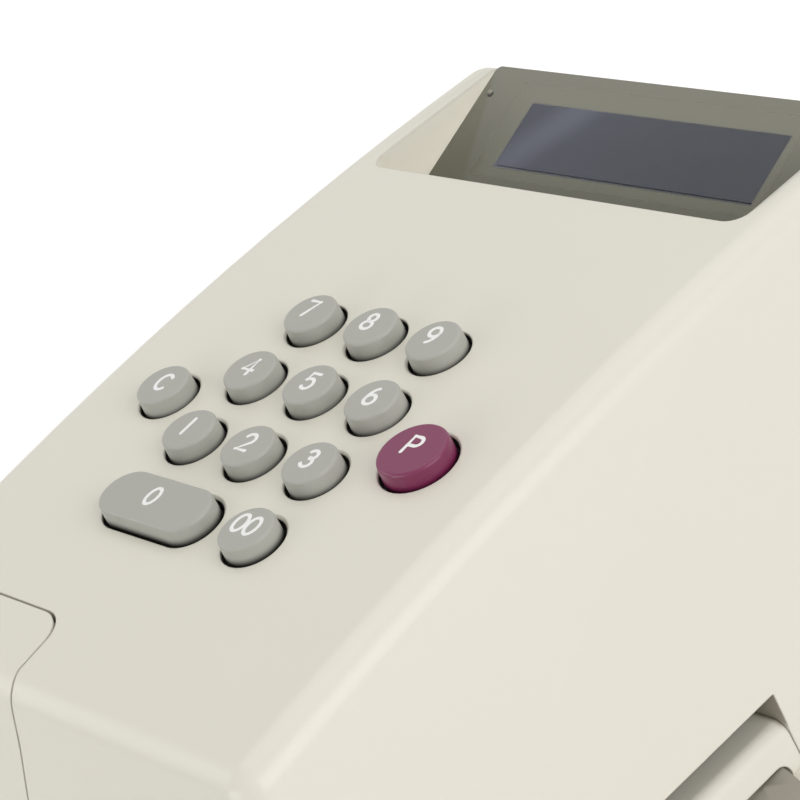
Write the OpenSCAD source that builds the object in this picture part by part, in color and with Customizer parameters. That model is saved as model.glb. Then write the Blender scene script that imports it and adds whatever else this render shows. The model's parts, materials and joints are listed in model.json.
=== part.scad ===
// Electronic check writer: a desk machine that prints an amount on a cheque.
// Units are millimetres. +Z is up, +X the operator's right and +Y the rear.
// The origin is in the middle of the footprint, on the plane it stands on.

/* [Casing] */
// Half width where the sloping panel would meet the side in a sharp line
panel_half = 64.4; // [62:0.1:67]
// Half width of the upper casing at its foot
foot_half = 80.3; // [79:0.1:81.5]
// Half length of the upper casing at its foot
foot_len = 124.5; // [123:0.5:126]
// Height of the casing's foot, which stands on the base
foot_z = 24; // [23:0.5:25]
// Radius of the casing's outer edges
edge_r = 7; // [6:0.25:8]
// Wall of the mouldings
wall = 2.5; // [2:0.1:3]
// Radius of the long arc that the panel follows, seen from the side
panel_r = 950; // [900:10:1100]
// Slope of the panel at the 5 key
panel_tilt = 6.2; // [5.5:0.1:7]
// Sharp line where the panel would meet the front
panel_front = -101; // [-102:0.5:-100]
// Sharp line where the panel would meet the back
panel_back = 103.5; // [102.5:0.5:104.5]

/* [Base] */
// Half width of the base at the bottom
base_half = 86.5; // [86:0.25:87.5]
// Half length of the base at the bottom
base_len = 132.5; // [131.5:0.5:133.5]
// How far the base's sides lean in up to its ledge
base_lean = 2; // [1.5:0.25:2.5]
// Height of the rubber feet under the base
foot_h = 3; // [2:0.5:4]
// Radius of the rubber feet
foot_r = 7; // [6:0.5:8]

/* [Throat] */
// Underside of the head over the cheque
head_z = 41.2; // [41:0.1:42]
// Top of the paper table
table_z = 34.5; // [34:0.1:35]
// Back wall of the throat
throat_y = 8; // [7:0.5:9]
// Radius of the table's rolled edge
roll_r = 4; // [3.5:0.25:4.5]
// Thickness of the sheet metal parts
sheet_t = 1.5; // [1.2:0.1:1.8]

/* [Keys] */
// Pitch of the key rows
pitch = 19; // [18.9:0.05:19.1]
// Radius of a number key
key_r = 6.1; // [5.9:0.05:6.2]
// Radius of the print key
print_r = 7.6; // [7.4:0.05:7.7]
// Half the straight run of the long 0 key
zero_run = 9.35; // [9:0.05:9.4]
// Gap between a key and its hole
key_gap = 0.95; // [0.8:0.05:1.1]
// Height of the keys above the panel
key_h = 3.5; // [3.2:0.05:3.6]
// Travel of the keys
key_travel = 1.8; // [1.5:0.1:1.9]

/* [Display] */
// Slope of the window
window_tilt = 21.5; // [21:0.1:22]
// Half width of the display's recess
recess_half = 55.8; // [55:0.1:56]
// Radius of the recess's front corners
recess_r = 4.5; // [4:0.25:5]
// Front edge of the recess
recess_front = 56.1; // [55.5:0.1:56.5]
// Thickness of the window
window_t = 2; // [1.8:0.1:2.2]
// Width of the dark screen
lcd_w = 78; // [76:0.5:80]
// Height of the dark screen
lcd_h = 18.5; // [18:0.25:19]

/* [Ink cover] */
// Rear seam of the ink cover
cover_y = -82.4; // [-83:0.1:-82]
// Side seam of the ink cover on the panel
cover_x = -9; // [-9.5:0.1:-8.5]
// Side seam of the ink cover on the front
cover_front_x = -6.2; // [-6.5:0.1:-6]
// Radius of the cover's corner
cover_r = 6; // [5:0.25:7]
// Width of the seam
seam = 0.5; // [0.4:0.05:0.6]

/* [Print mechanism] */
// Place of the type wheel along X
wheel_x = -31; // [-32:0.5:-30]
// Axis of the type wheel, from the front
wheel_y = -62; // [-63:0.5:-61]
// Radius of the type wheel over its type
wheel_r = 17; // [16.5:0.1:17]
// Width of the type wheel
wheel_w = 13; // [12:0.5:14]
// Radius of the ink roller
ink_r = 10.5; // [10:0.1:10.6]
// Width of the ink roller
ink_w = 17; // [16:0.5:18]
// Radius of the mechanism's shafts
shaft_r = 2.5; // [2.4:0.05:2.5]
// Gear module
gear_m = 0.8; // [0.8:0.05:0.85]
// Teeth of the gear on the type wheel's shaft
wheel_n = 16; // [15:1:16]
// Teeth of the gear on the feed shaft
feed_n = 36; // [34:2:36]
// Teeth of the motor pinions
pinion_n = 10; // [10:1:11]

/* [Paper feed] */
// Place of the feed roller along X
feed_x = 18; // [17:0.5:19]
// Radius of the feed roller
feed_r = 7; // [6.8:0.1:7]
// Radius of the pinch roller
pinch_r = 6; // [5.8:0.1:6]
// Pivot of the pinch arm along X
pinch_pivot_x = 44; // [43:0.5:45]
// Height of the pinch arm's pivot
pinch_pivot_z = 54; // [53:0.5:55]
// Pivot of the release lever along X
lever_x = 62; // [61.5:0.5:62.5]
// Height of the release lever's pivot
lever_z = 16.5; // [16:0.5:17]

/* [Hidden] */

$fn = 48;
hull_fn = 32;
eps = 0.01;
big = 400;

ivory = [0.87, 0.855, 0.81];
key_grey = [0.66, 0.665, 0.635];
plum = [0.53, 0.28, 0.39];
dark_grey = [0.3, 0.3, 0.3];
lever_grey = [0.55, 0.53, 0.46];
board_green = [0.13, 0.36, 0.22];
steel = [0.7, 0.71, 0.72];
brass = [0.78, 0.64, 0.34];
rubber = [0.16, 0.16, 0.17];
glass_grey = [0.45, 0.45, 0.4];
lcd_blue = [0.32, 0.33, 0.38];

// The 5 key on the panel is the point that the panel's arc is drawn from.
key5_y = -16;
key5_z = 113.85;
arc_cy = key5_y + panel_r * sin(panel_tilt);
arc_cz = key5_z - panel_r * cos(panel_tilt);
// Height and slope of the panel at a distance from the front.
function panel_z(y) = arc_cz + sqrt(panel_r * panel_r - (y - arc_cy) * (y - arc_cy));
function panel_slope(y) = asin((arc_cy - y) / panel_r);

// The centres of the edge rounding run along both sides of the panel.
flare = atan((foot_half - panel_half) / (key5_z - foot_z));
rail_x = panel_half - edge_r * tan((90 - flare) / 2);
stations = 14;
front_turn = 61.6;
back_turn = 76.6;
rail_front = panel_front + edge_r * tan(front_turn / 2);
rail_back = panel_back - edge_r * tan(back_turn / 2);
function rail_y(i) = rail_front + (rail_back - rail_front) * i / stations;
function rail_point(y) = [rail_x, y + edge_r * sin(panel_slope(y)), panel_z(y) - edge_r * cos(panel_slope(y))];

// Points of a rectangle with rounded corners, corner radii in the order of the corners.
function arc_points(cx, cy, r, from, to, n) =
    [for (i = [0:n]) [cx + r * cos(from + (to - from) * i / n), cy + r * sin(from + (to - from) * i / n)]];
function round_rect(x0, y0, x1, y1, r) = concat(
    arc_points(x1 - r, y1 - r, r, 0, 90, 6), arc_points(x0 + r, y1 - r, r, 90, 180, 6),
    arc_points(x0 + r, y0 + r, r, 180, 270, 6), arc_points(x1 - r, y0 + r, r, 270, 360, 6));

module round_block(x0, y0, x1, y1, r, z0, z1) {
    translate([0, 0, z0])
        linear_extrude(z1 - z0) polygon(round_rect(x0, y0, x1, y1, r));
}

module box(x0, y0, z0, x1, y1, z1) {
    translate([x0, y0, z0]) cube([x1 - x0, y1 - y0, z1 - z0]);
}

module both_sides() {
    children();
    mirror([1, 0, 0]) children();
}

// Frames of the keypad and of the window: X stays, Y runs up the slope, Z leaves the surface.
module keypad_frame() {
    translate([0, key5_y, key5_z]) rotate([panel_tilt, 0, 0]) children();
}

window_y = 100;
window_z = 118.97;
module window_frame() {
    translate([0, window_y, window_z]) rotate([window_tilt, 0, 0]) children();
}

module along_x(x0, x1, y, z, r) {
    translate([x0, y, z]) rotate([0, 90, 0]) cylinder(r = r, h = x1 - x0);
}

module along_y(x, y0, y1, z, r) {
    translate([x, y1, z]) rotate([90, 0, 0]) cylinder(r = r, h = y1 - y0);
}

// ---- Casing ----

// The outer form of the upper casing, or its inside when inset by the wall.
module envelope(inset, bottom) {
    r = edge_r - inset;
    hull() {
        for (i = [0:stations])
            both_sides() translate(rail_point(rail_y(i))) sphere(r, $fn = hull_fn);
        for (y = [-foot_len + edge_r, foot_len - edge_r])
            both_sides() translate([foot_half - edge_r, y, bottom]) cylinder(r = r, h = 1, $fn = hull_fn);
    }
}

window_top = 1.1;
window_front = -45.2;
recess_back = window_y + (window_top + 0.1) * cos(window_tilt);
floor_t = 2.5;

// Everything above the plane under the window, within the recess's outline.
module recess_space(grow, floor) {
    intersection() {
        round_block(-recess_half - grow, recess_front - grow, recess_half + grow, recess_back + recess_r,
            recess_r + grow, key5_z - 30, key5_z + 40);
        window_frame() translate([-big / 2, -big / 2, floor]) cube([big, big / 2 + window_top + 0.1 + grow, 60]);
    }
}

// Rounds the upper edges of the recess, on the tangent plane of the panel above the window.
rim_r = 3;
rim_y = 78;
module recess_rim() {
    intersection() {
        translate([0, rim_y, panel_z(rim_y)]) rotate([panel_slope(rim_y), 0, 0]) {
            for (i = [0:2]) hull() {
                rim_slice(30 * i);
                rim_slice(30 * (i + 1));
            }
            translate([0, 0, 0.01]) linear_extrude(4) polygon(rim_outline(rim_r));
        }
        box(-big / 2, 0, 0, big / 2, recess_back, big);
        window_frame() translate([-big / 2, -big, -window_t]) cube([big, 2 * big, big]);
    }
}

function rim_outline(grow) = round_rect(-recess_half - grow, recess_front - rim_y - grow,
    recess_half + grow, recess_back - rim_y + 10, recess_r + grow);

module rim_slice(angle) {
    translate([0, 0, -rim_r + rim_r * sin(angle)])
        linear_extrude(0.01) polygon(rim_outline(rim_r - rim_r * cos(angle)));
}

// The seam outline of the ink cover, seen from above; shrink draws the cover's own smaller outline.
function cover_outline(s) = concat(
    [[-big / 4, -big / 2], [-big / 4, cover_y - s]],
    arc_points(cover_x - s - cover_r, cover_y - s - cover_r, cover_r, 90, 0, 8),
    [[cover_x - s, cover_y - 14], [cover_front_x - 1.4 - s, cover_y - 17.5], [cover_front_x - s, cover_y - 22],
        [cover_front_x - s, -big / 2]]);

module cover_zone(s) {
    translate([0, 0, head_z - 1]) linear_extrude(100) polygon(cover_outline(s));
}

// Cuts a key's hole through the panel, with a small lead-in at the top.
module hole_tool(r) {
    translate([0, 0, -12]) cylinder(r = r, h = 24);
    translate([0, 0, -0.35]) cylinder(r1 = r, r2 = r + 2.5, h = 2.5);
}

module key_hole(column, row, r) {
    y = row * pitch;
    keypad_frame() translate([column * pitch, y, -sag(y)]) hole_tool(r + key_gap);
}

// How far the panel falls below its tangent plane at the 5 key.
function sag(y) = y * y / (2 * panel_r);

zero_x = -9.7;
number_places = [[0, 0, "5"], [-1, 0, "4"], [1, 0, "6"], [-1, 1, "7"], [0, 1, "8"], [1, 1, "9"],
    [-1, -1, "1"], [0, -1, "2"], [1, -1, "3"], [1, -2, "00"], [-2, -0.5, "C"]];
print_column = 2.093;
print_row = -0.5;

posts = [[72, 24], [63, 100]];
post_r = 4.5;
screw_r = 1.45;
pilot_r = 1.5;

module upper_case() {
    color(ivory) difference() {
        union() {
            difference() {
                envelope(0, foot_z);
                envelope(wall, foot_z - 3);
            }
            intersection() {
                envelope(0, foot_z);
                union() {
                    recess_space(2, -window_t - floor_t);
                    box(-90, throat_y, foot_z, 90, throat_y + wall, head_z + 1.6);
                    for (p = posts) both_sides()
                        translate([p[0], p[1], foot_z + 2]) cylinder(r = post_r, h = 100);
                    keypad_frame() for (p = pad_screws) translate([p[0], p[1], board_top]) cylinder(r = 3, h = 9);
                    window_frame() for (p = display_screws)
                        translate([p[0], p[1], display_board_top]) cylinder(r = 3, h = 4);
                }
            }
        }
        // open throat under the head
        box(-100, -150, 0, 100, throat_y, head_z);
        recess_space(0, -window_t);
        recess_rim();
        // view of the screen
        window_frame() box(-lcd_w / 2 - 2, -29, -12, lcd_w / 2 + 2, -4, 0);
        for (p = number_places) key_hole(p[0], p[1], key_r);
        key_hole(print_column, print_row, print_r);
        for (side = [-1, 1]) key_hole((zero_x + side * zero_run) / pitch, -2, key_r + 0.15);
        keypad_frame() box(zero_x - zero_run, -2 * pitch - key_r - 0.15 - key_gap, -14,
            zero_x + zero_run, -2 * pitch + key_r + 0.15 + key_gap, 10);
        for (p = posts) both_sides() translate([p[0], p[1], 0]) cylinder(r = pilot_r, h = 60);
        keypad_frame() for (p = pad_screws) translate([p[0], p[1], board_top - 1]) cylinder(r = 1.15, h = 7);
        window_frame() for (p = display_screws) translate([p[0], p[1], -12]) cylinder(r = 1.15, h = 9);
        cover_zone(0);
        // seat of the power switch in the back
        back_frame() box(-switch_w / 2, -switch_l / 2, -10, switch_w / 2, switch_l / 2, 5);
        // way for the feed shaft
        along_y(feed_x, 0, 20, feed_z, 4);
    }
}

module ink_cover() {
    color(ivory) difference() {
        union() {
            intersection() {
                difference() {
                    envelope(0, foot_z);
                    envelope(wall, foot_z - 3);
                }
                cover_zone(seam);
                box(-100, -150, head_z, 20, 0, 130);
            }
            for (y = hinge_knuckles) {
                along_y(hinge_x, y, y + knuckle_l, hinge_z, knuckle_r);
                box(hinge_x - 4.6, y, hinge_z - 1, hinge_x, y + knuckle_l, hinge_z + 1);
            }
        }
        along_y(hinge_x, -125, -80, hinge_z, hinge_pin_r + 0.06);
    }
}

// The cover swings on a pin inside the lower left edge, between three lugs of the head plate.
hinge_x = -69.6;
hinge_z = head_z + 3.6;
hinge_pin_r = 1.2;
knuckle_r = 2.6;
knuckle_l = 6;
hinge_knuckles = [-106, -96];
hinge_lugs = [-109.5, -99.5, -89.5];
lug_l = 3;

module cover_hinge_pin() {
    color(steel) along_y(hinge_x, -109.5, -86.5, hinge_z, hinge_pin_r);
}

// ---- Base ----

module base_solid(inset, z0, z1) {
    r = 10;
    lean = base_lean * (z1 - z0) / (foot_z - foot_h);
    hull() {
        for (x = [-1, 1], y = [-1, 1]) {
            translate([x * (base_half - inset - r), y * (base_len - inset - r), z0])
                cylinder(r1 = r - (inset > 0 ? 0 : 1.5), r2 = r, h = 1.5, $fn = hull_fn);
            translate([x * (base_half - inset - r - lean), y * (base_len - inset - r - lean), z1 - 1.5])
                cylinder(r1 = r, r2 = r - (inset > 0 ? 0 : 1), h = 1.5, $fn = hull_fn);
        }
    }
}

feet_places = [[72, -112], [72, 112]];
module base() {
    color(ivory) difference() {
        union() {
            for (p = main_board_holes)
                translate([p[0], p[1], foot_h + 1]) cylinder(r = 3, h = main_board_z - foot_h - 1);
            difference() {
                base_solid(0, foot_h, foot_z);
                base_solid(wall, foot_h + wall, foot_z - wall);
                round_block(-72.5, -116, 72.5, 117, 6, foot_h + wall, foot_z + 1);
            }
            for (p = posts) both_sides()
                translate([p[0], p[1], foot_h]) cylinder(r = post_r, h = foot_z + 1.8 - foot_h);
            // bearing blocks of the feed shaft and of the release lever
            for (y = [-82, -44]) box(feed_x - 6, y, foot_h, feed_x + 6, y + 4, feed_z + 4);
            for (y = lever_bearings) box(lever_x - 5, y, foot_h, lever_x + 5, y + 4, lever_z + 4.5);
        }
        for (p = feet_places) both_sides() translate([p[0], p[1], 0]) cylinder(r = foot_r, h = foot_h + 0.5);
        for (p = posts) both_sides() {
            translate([p[0], p[1], 0]) cylinder(r = screw_r + 0.25, h = 40);
            translate([p[0], p[1], 0]) cylinder(r = 3.2, h = foot_h + 5);
        }
        along_y(feed_x, -90, 0, feed_z, shaft_r + 0.05);
        along_y(lever_x, -40, 40, lever_z, lever_shaft_r + 0.05);
        // the lever's window through the ledge
        box(lever_x + 2, notch_front, foot_z - 10, base_half + 5, notch_back - 1, foot_z + 1);
        for (p = main_board_holes) translate([p[0], p[1], foot_h + 2]) cylinder(r = 1.2, h = 20);
        along_y(inlet_x, 110, 140, inlet_z, inlet_r + 0.2);
    }
}

module feet() {
    color(rubber) for (p = feet_places) both_sides() translate([p[0], p[1], 0]) {
        cylinder(r1 = foot_r - 0.8, r2 = foot_r, h = 1);
        translate([0, 0, 1]) cylinder(r = foot_r, h = foot_h - 0.5);
    }
}

module case_screws() {
    color(steel) for (p = posts) both_sides() translate([p[0], p[1], foot_h + 3]) {
        difference() {
            translate([0, 0, -0.4]) cylinder(r = 2.9, h = 2.4);
            for (a = [0, 90]) rotate(a) translate([-2, -0.4, -1]) cube([4, 0.8, 2]);
        }
        cylinder(r = screw_r, h = 30);
    }
}

// ---- Throat ----

notch_back = 4.2;
notch_front = -26;
notch_z = 27.7;
module table_form(inset, z0) {
    r = roll_r - inset;
    front = foot_len - roll_r;
    hull() {
        for (y = [-front + 1.6, throat_y + 20])
            both_sides() translate([foot_half - roll_r - 1.3, y, table_z - roll_r]) sphere(r, $fn = hull_fn);
        for (y = [-front, throat_y + 20])
            both_sides() translate([foot_half - roll_r, y, z0]) cylinder(r = r, h = 1, $fn = hull_fn);
    }
}

module paper_table() {
    color(ivory) difference() {
        table_form(0, foot_z);
        table_form(2, foot_z - 3);
        box(-100, throat_y - 0.2, 0, 100, 60, 60);
        // the feed roller's slot and the platen's seat
        round_block(feed_x - 6, -75, feed_x + 6, -49, 1, 20, 40);
        round_block(wheel_x - 9, wheel_y - 8, wheel_x + 9, wheel_y + 8, 1, table_z - 1, 40);
        // the lever's notch in the right side
        translate([60, 0, 0]) rotate([90, 0, 90]) linear_extrude(40) polygon(concat(
            [[notch_front, 0], [notch_front, notch_z - 3]],
            arc_points(notch_front + 3, notch_z - 3, 3, 180, 90, 6),
            arc_points(notch_back - 3, notch_z - 3, 3, 90, 0, 6), [[notch_back, 0]]));
    }
}

module head_plate() {
    color(dark_grey) difference() {
        intersection() {
            envelope(wall + 0.3, foot_z - 3);
            box(-100, -150, head_z, 100, throat_y + wall, head_z + 1.6);
        }
        round_block(wheel_x - 9, wheel_y - 14, wheel_x + 9, wheel_y + 14, 1, 30, 60);
        round_block(feed_x - 10, -79, feed_x + 17, -45, 1, 30, 60);
        box(-90, throat_y - 0.3, 30, 90, 60, 60);
        box(-90, -130, 30, hinge_x + 5, cover_y + 1, 60);
        for (p = frame_screws) translate([p[0], p[1], 30]) cylinder(r = 1.2, h = 40);
    }
    color(dark_grey) difference() {
        union() {
            for (y = hinge_lugs) {
                along_y(hinge_x, y, y + lug_l, hinge_z, knuckle_r);
                box(hinge_x, y, head_z, hinge_x + 8, y + lug_l, hinge_z + 1);
            }
            box(pinch_pivot_x - 5, -82, head_z + 1, pinch_pivot_x + 5, -79.5, pinch_pivot_z + 4);
        }
        along_y(hinge_x, -125, -80, hinge_z, hinge_pin_r);
        along_y(pinch_pivot_x, -90, -70, pinch_pivot_z, pinch_pin_r);
    }
}

// ---- Chassis: carries the head over the throat ----

upright_y = throat_y + wall + 0.3;
chassis_z = foot_h + wall;
shelf_z = head_z + 20;
chassis_half = 56;
module chassis() {
    color(steel) difference() {
        union() {
            box(-chassis_half, upright_y, chassis_z, chassis_half, upright_y + sheet_t, 88);
            box(-chassis_half, upright_y, chassis_z, chassis_half, upright_y + 26, chassis_z + sheet_t);
            box(-chassis_half, -8, shelf_z, chassis_half, upright_y + 1, shelf_z + sheet_t);
            both_sides() translate([-chassis_half, 0, 0]) rotate([90, 0, 90]) linear_extrude(sheet_t) polygon([
                [upright_y, chassis_z], [upright_y + 26, chassis_z], [upright_y + 8, 88], [upright_y, 88]]);
            both_sides() box(-chassis_half, -8, head_z + 1.6, -chassis_half + sheet_t, upright_y, shelf_z + 1);
            box(pinch_pivot_x - 5, 29, chassis_z, pinch_pivot_x + 5, 29 + sheet_t, pinch_pivot_z + 4);
        }
        along_y(feed_x, 0, 60, feed_z, shaft_r + 1);
        along_y(pinch_pivot_x, 0, 20, pinch_pivot_z, 4.6);
        along_y(pinch_pivot_x, 20, 60, pinch_pivot_z, pinch_pin_r);
        // way for the lever's crank through the right gusset
        box(50, crank_y - 1.5, lever_z - 4.5, 60, crank_y + crank_t + 1.5, lever_z + 9);
    }
}

// ---- Display ----

display_board_top = -window_t - 4.2;
display_screws = [[-43.5, -31.5], [43.5, -31.5], [-43.5, -5], [43.5, -5]];

module display_window() {
    color(glass_grey) window_frame() translate([0, 0, -window_t]) linear_extrude(window_t)
        polygon(round_rect(-recess_half + 0.5, window_front, recess_half - 0.5, window_top, 1.5));
}

module lcd_module() {
    color(lcd_blue) window_frame() {
        box(-lcd_w / 2 - 1.5, -28.5, display_board_top, lcd_w / 2 + 1.5, -4.5, -window_t - 0.4);
        box(-lcd_w / 2, -4 - 2 - lcd_h, -window_t - 0.41, lcd_w / 2, -4 - 2, -window_t - 0.2);
    }
}

module display_board() {
    color(board_green) window_frame() difference() {
        box(-lcd_w / 2 - 8, -34, display_board_top - 1.6, lcd_w / 2 + 8, -2, display_board_top);
        for (p = display_screws) translate([p[0], p[1], -20]) cylinder(r = 1.2, h = 30);
    }
}

// ---- Keys ----

// A round or long key: crown, skirt and the flange that holds it under the panel.
module key_solid(r, run, height, drop) {
    crown = 0.7;
    flange_top = -wall - drop - flange_gap;
    outline = concat([[0, height]],
        arc_points(r - crown, height - crown, crown, 90, 5, 6), [[r + 0.25, flange_top], [r + 1.6, flange_top],
        [r + 1.6, flange_top - 1], [0, flange_top - 1]]);
    translate([0, 0, flange_top - 1 - stem_l]) cylinder(r = stem_r, h = stem_l + 0.2);
    if (run == 0)
        rotate_extrude() polygon(outline);
    if (run > 0) {
        for (side = [-1, 1]) translate([side * run, 0, 0]) rotate_extrude() polygon(outline);
        both = concat(outline, [for (i = [len(outline) - 1:-1:0]) [-outline[i][0], outline[i][1]]]);
        translate([-run, 0, 0]) rotate([90, 0, 90]) linear_extrude(2 * run) polygon(both);
    }
}

module key(column, row, r, run, height) {
    y = row * pitch;
    keypad_frame() translate([column * pitch, y, 0]) key_solid(r, run, height - sag(y), sag(y));
}

module number_key(label) {
    color(key_grey) for (p = number_places) if (p[2] == label) key(p[0], p[1], key_r, 0, key_h);
}

module key_0() { color(key_grey) key(zero_x / pitch, -2, key_r + 0.15, zero_run, key_h); }
module key_00() { number_key("00"); }
module key_1() { number_key("1"); }
module key_2() { number_key("2"); }
module key_3() { number_key("3"); }
module key_4() { number_key("4"); }
module key_5() { number_key("5"); }
module key_6() { number_key("6"); }
module key_7() { number_key("7"); }
module key_8() { number_key("8"); }
module key_9() { number_key("9"); }
module key_clear() { number_key("C"); }
module key_print() { color(plum) key(print_column, print_row, print_r, 0, key_h - 0.1); }

// Each stem stands in a rubber boot of the mat; the board lies under the mat.
stem_r = 2;
stem_l = 3;
flange_gap = 0.5;
flange_foot = -wall - flange_gap - 1;
boot_top = flange_foot - key_travel - 0.15;
board_top = flange_foot - stem_l - key_travel - 1;
pad_left = -50;
pad_right = 54;
pad_front = -52;
pad_back = 31;
boot_places = concat(number_places, [[print_column, print_row, "P"], [zero_x / pitch, -2, "0"]]);

module key_mat() {
    color(rubber) keypad_frame() difference() {
        union() {
            box(pad_left + 1, pad_front + 1, board_top, pad_right - 1, pad_back - 1, board_top + 1);
            for (p = boot_places) translate([p[0] * pitch, p[1] * pitch, board_top + 0.9])
                cylinder(r1 = 5.2, r2 = 3.4, h = boot_top - sag(p[1] * pitch) - board_top - 0.9);
        }
        for (p = boot_places)
            translate([p[0] * pitch, p[1] * pitch, board_top - 1]) cylinder(r = stem_r + 0.25, h = 12);
        for (p = pad_screws) translate([p[0], p[1], -20]) cylinder(r = 3.3, h = 20);
    }
}

pad_screws = [[-47, -47], [51, -47], [-47, 27], [51, 27]];
module keypad_board() {
    color(board_green) keypad_frame() difference() {
        box(pad_left, pad_front, board_top - 1.6, pad_right, pad_back, board_top);
        for (p = pad_screws) translate([p[0], p[1], -40]) cylinder(r = 1.2, h = 60);
    }
}

main_board_holes = [[-48, 44], [48, 44], [-48, 104], [48, 104]];
main_board_z = foot_h + 8;
module main_board() {
    color(board_green) difference() {
        box(-54, 40, main_board_z, 54, 118, main_board_z + 1.6);
        for (p = main_board_holes) translate([p[0], p[1], 0]) cylinder(r = 1.25, h = 40);
    }
    color(rubber) for (x = [-30, -8]) box(x, 60, main_board_z + 1.5, x + 14, 74, main_board_z + 3.6);
    color(rubber) for (x = [18, 32]) translate([x, 92, main_board_z + 1.5]) cylinder(r = 5, h = 14);
}

// A small screw whose head hangs under a board.
module hanging_screw() {
    translate([0, 0, -1.4]) cylinder(r = 2.2, h = 1.4);
    translate([0, 0, -0.1]) cylinder(r = 1.1, h = 4);
}

module board_screws() {
    color(steel) {
        for (p = main_board_holes) translate([p[0], p[1], main_board_z + 1.6]) {
            cylinder(r = 2.2, h = 1.4);
            translate([0, 0, -6]) cylinder(r = 1.15, h = 6.1);
        }
        keypad_frame() for (p = pad_screws) translate([p[0], p[1], board_top - 1.6]) hanging_screw();
        window_frame() for (p = display_screws) translate([p[0], p[1], display_board_top - 1.6]) hanging_screw();
    }
}

// ---- Print mechanism ----

wheel_z = table_z + 0.8 + wheel_r;
ink_y = wheel_y - wheel_r - ink_r - 0.35;
ink_z = wheel_z + 1;
function centre_gap(n) = gear_m * (n + pinion_n) / 2 + 0.1;
motor_angle = 60;
motor_y = wheel_y + centre_gap(wheel_n) * cos(motor_angle);
motor_z = wheel_z + centre_gap(wheel_n) * sin(motor_angle);
frame_left = -47;
frame_right = -15;
frame_screws = [[-52, -76], [-52, -50], [-10, -76], [-10, -50]];

// Teeth are straight-sided, drawn around the pitch circle.
function gear_outline(n, m) = [for (i = [0:n - 1], k = [0:3])
    let (r = m * (n / 2 + (k == 0 || k == 3 ? -1.2 : 0.9)), a = (i + [-0.29, -0.12, 0.12, 0.29][k]) * 360 / n)
    [r * cos(a), r * sin(a)]];

module spur_gear(n, h, bore) {
    difference() {
        linear_extrude(h) polygon(gear_outline(n, gear_m));
        translate([0, 0, -1]) cylinder(r = bore, h = h + 2);
    }
}

// A motor on its back at the origin, shaft hole up, and the pinion that turns in it.
motor_r = 12;
spindle_r = 1;
module motor(length) {
    difference() {
        union() {
            cylinder(r = motor_r, h = length);
            cylinder(r = 5, h = length + 1.5);
            translate([0, 0, -1.5]) cylinder(r = 6, h = 2);
        }
        translate([0, 0, 2]) cylinder(r = spindle_r + 0.05, h = length);
    }
}

module pinion(length) {
    linear_extrude(6) polygon(gear_outline(pinion_n, gear_m));
    translate([0, 0, -length]) cylinder(r = spindle_r, h = length + 1);
}

module mechanism_frame() {
    color(steel) difference() {
        union() {
            for (x = [frame_left, frame_right])
                translate([x, 0, 0]) rotate([90, 0, 90]) linear_extrude(sheet_t) polygon(concat(
                    [[-100, head_z + 1.7], [-42, head_z + 1.7]], arc_points(-48, 82, 6, 0, 90, 6),
                    arc_points(-92, 66, 8, 90, 180, 6)));
            for (x = [[frame_left - 9, frame_left + sheet_t], [frame_right, frame_right + 9]])
                box(x[0], -82, head_z + 1.7, x[1], -44, head_z + 1.7 + sheet_t);
            box(frame_left, -44, head_z + 1.7, frame_right + sheet_t, -42.5, 60);
        }
        along_x(-60, 0, wheel_y, wheel_z, shaft_r + 0.05);
        along_x(-60, 0, ink_y, ink_z, 2.05);
        for (p = frame_screws) translate([p[0], p[1], 30]) cylinder(r = 1.25, h = 30);
    }
}

// The wheel carries one raised block of type at each of its twelve places.
module type_wheel() {
    color(brass) difference() {
        union() {
            along_x(wheel_x - wheel_w / 2, wheel_x + wheel_w / 2, wheel_y, wheel_z, wheel_r - 1.6);
            along_x(wheel_x - wheel_w / 2 - 3, wheel_x + wheel_w / 2 + 3, wheel_y, wheel_z, 6);
            for (a = [15:30:345]) translate([wheel_x, wheel_y, wheel_z]) rotate([a, 0, 0])
                box(-5, -2.6, wheel_r - 3, 5, 2.6, wheel_r - 0.25);
        }
        along_x(-60, 0, wheel_y, wheel_z, shaft_r);
    }
}

module wheel_shaft() {
    color(steel) along_x(frame_left - 3, frame_right + 9, wheel_y, wheel_z, shaft_r);
}

gear_x = frame_right + 3.4;
print_motor_l = 12;
module wheel_gear() {
    color(ivory) translate([gear_x, wheel_y, wheel_z]) rotate([0, 90, 0]) rotate(90 + motor_angle)
        spur_gear(wheel_n, 5, shaft_r);
}

module print_motor() {
    face_x = gear_x + 8.5;
    color(steel) difference() {
        union() {
            translate([face_x + print_motor_l, motor_y, motor_z]) rotate([0, -90, 0]) motor(print_motor_l);
            box(face_x + 1, motor_y - 8, head_z + 1.6, face_x + 9, motor_y + 8, motor_z - 6);
        }
        along_x(face_x - 5, face_x + 12, motor_y, motor_z, spindle_r + 0.05);
    }
}

module print_pinion() {
    color(brass) translate([gear_x + 5.5, motor_y, motor_z]) rotate([0, -90, 0])
        rotate(270 - motor_angle + 180 / pinion_n) pinion(12);
}

module ink_roller() {
    color([0.18, 0.14, 0.24]) difference() {
        along_x(wheel_x - ink_w / 2, wheel_x + ink_w / 2, ink_y, ink_z, ink_r);
        along_x(-60, 0, ink_y, ink_z, 4);
    }
}

module ink_roller_core() {
    color(ivory) {
        along_x(wheel_x - ink_w / 2 - 2, wheel_x + ink_w / 2 + 2, ink_y, ink_z, 4);
        for (x = [wheel_x - ink_w / 2 - 3, wheel_x + ink_w / 2]) along_x(x, x + 3, ink_y, ink_z, 8);
        along_x(frame_left - 2, frame_right + 2, ink_y, ink_z, 2);
    }
}

module platen() {
    color(rubber)
        round_block(wheel_x - 8.8, wheel_y - 7.8, wheel_x + 8.8, wheel_y + 7.8, 1, table_z - 1, table_z + 0.1);
}

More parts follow.
